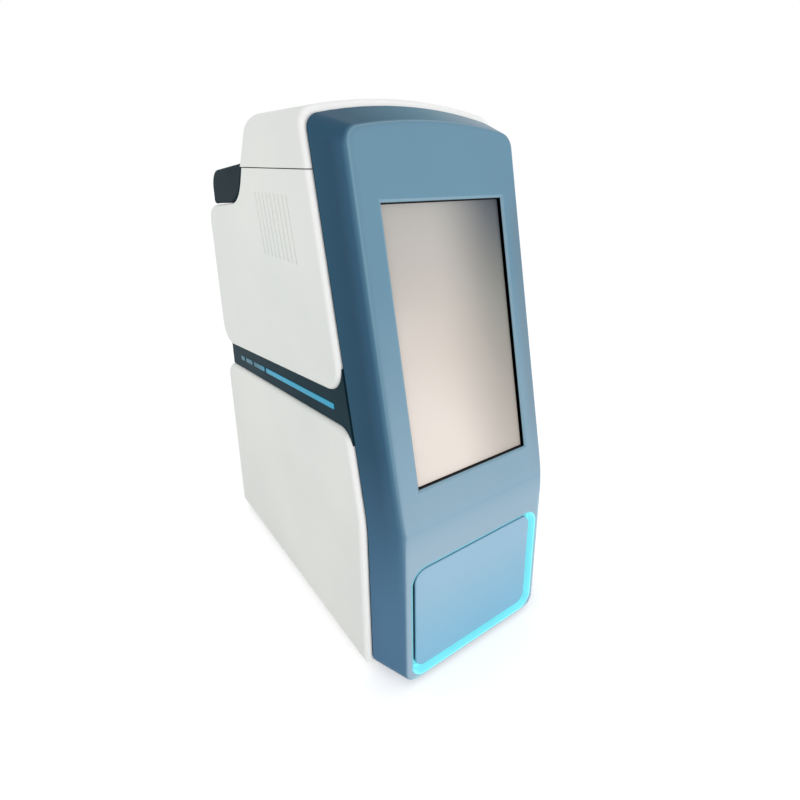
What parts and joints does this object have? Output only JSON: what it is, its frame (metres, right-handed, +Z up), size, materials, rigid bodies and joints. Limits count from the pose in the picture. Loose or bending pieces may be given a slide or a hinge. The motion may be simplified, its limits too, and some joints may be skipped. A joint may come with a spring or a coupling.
{
  "type": "dry chemistry analyzer",
  "caption": "Bench analyser with a leaning portrait touch screen, a lit disc drawer below it, two-part side shells with a dark band, and a hinged printer lid at the back.",
  "frame": {"origin": "on the bench under the middle of the body, at the feet's underside", "axes": "+X to the right of a person who faces the screen, +Y to the back, +Z up"},
  "size_m": [0.14, 0.2566, 0.3475],
  "materials": {
    "front_paint": "satin slate-blue moulding",
    "white_shell": "satin off-white moulding",
    "dark_shell": "smooth dark teal-black moulding",
    "ring_light": "translucent cyan light guide, lit from behind",
    "side_light": "translucent blue light bar, lit from behind",
    "screen_glass": "glossy cover glass over an unlit display",
    "display_module": "dark display body",
    "sheet_metal": "zinc-plated sheet",
    "rear_paint": "fine-textured pale grey powder coat",
    "screw_steel": "plated screw steel",
    "foot_rubber": "matte black rubber",
    "tray_plastic": "pale grey moulding",
    "slide_steel": "bright drawn steel",
    "motor_metal": "grey motor can",
    "gear_plastic": "natural acetal",
    "turntable_metal": "dark anodised aluminium",
    "optics_metal": "black anodised aluminium",
    "bare_aluminium": "milled aluminium",
    "board": "green circuit board",
    "fitting_plastic": "black fitting plastic",
    "roller_rubber": "dark roller rubber",
    "paper": "smooth thermal paper"
  },
  "bodies": {
    "housing": {"front_bezel": "front_paint", "light_ring": "ring_light", "ring_light_board": "board", "touch_glass": "screen_glass", "lcd_module": "display_module", "display_bracket": "sheet_metal", "right_upper_panel": "white_shell", "left_upper_panel": "white_shell", "right_lower_panel": "white_shell", "left_lower_panel": "white_shell", "top_cover": "white_shell", "right_band": "dark_shell", "left_band": "dark_shell", "right_lights": "side_light", "left_lights": "side_light", "chassis_frame": "sheet_metal", "front_plate": "sheet_metal", "base_plate": "sheet_metal", "rubber_feet": "foot_rubber", "foot_screws": "screw_steel", "bezel_screws": "screw_steel", "rear_panel": "rear_paint", "rear_screws": "screw_steel", "drawer_rails": "slide_steel", "rail_brackets": "sheet_metal", "drawer_motor": "motor_metal", "motor_bracket": "sheet_metal", "optics_plate": "bare_aluminium", "heater_plate": "bare_aluminium", "optical_head": "optics_metal", "objective_lens": "optics_metal", "lamp_module": "bare_aluminium", "main_board": "board", "power_supply": "sheet_metal", "io_board": "board", "mains_inlet": "fitting_plastic", "switch_housing": "fitting_plastic", "network_port": "bare_aluminium", "usb_ports": "bare_aluminium", "fan_frame": "fitting_plastic", "printer_tub": "dark_shell", "hinge_pins": "screw_steel", "roll_axle": "tray_plastic", "print_head": "bare_aluminium"},
    "drawer": {"drawer_front": "front_paint", "drawer_tray": "tray_plastic", "drawer_slides": "slide_steel", "spindle_motor": "motor_metal", "drawer_rack": "gear_plastic"},
    "turntable_body": {"turntable": "turntable_metal"},
    "pinion": {"drive_pinion": "gear_plastic"},
    "lid": {"printer_lid": "dark_shell"},
    "platen": {"platen_roller": "roller_rubber"},
    "roll": {"paper_roll": "paper"},
    "fan": {"fan_rotor": "fitting_plastic"},
    "rocker": {"power_rocker": "fitting_plastic"}
  },
  "joints": [
    {"name": "drawer_slide", "type": "slide", "parent": "housing", "child": "drawer", "axis": [0, -1, 0], "range_m": [0, 0.095]},
    {"name": "turntable_spin", "type": "hinge", "parent": "drawer", "child": "turntable_body", "pos_m": [0, -0.06933, 0.0475], "axis": [0, 0, 1], "continuous": true},
    {"name": "pinion_spin", "type": "hinge", "parent": "housing", "child": "pinion", "pos_m": [0.037, -0.03433, 0.02675], "axis": [1, 0, 0], "continuous": true},
    {"name": "lid_hinge", "type": "hinge", "parent": "housing", "child": "lid", "pos_m": [0, 0.1111, 0.28532], "axis": [-1, 0, 0], "range_deg": [0, 85]},
    {"name": "platen_spin", "type": "hinge", "parent": "lid", "child": "platen", "pos_m": [0, 0.0645, 0.299], "axis": [1, 0, 0], "continuous": true},
    {"name": "roll_spin", "type": "hinge", "parent": "housing", "child": "roll", "pos_m": [0, 0.084, 0.272], "axis": [1, 0, 0], "continuous": true},
    {"name": "fan_spin", "type": "hinge", "parent": "housing", "child": "fan", "pos_m": [0, 0.1095, 0.205], "axis": [0, 1, 0], "continuous": true},
    {"name": "rocker_pivot", "type": "hinge", "parent": "housing", "child": "rocker", "pos_m": [-0.006, 0.1145, 0.072], "axis": [1, 0, 0], "range_deg": [0, 16]}
  ],
  "couplings": [
    {"joint": "pinion_spin", "follows": "drawer_slide", "rad_per_m": 125}
  ]
}
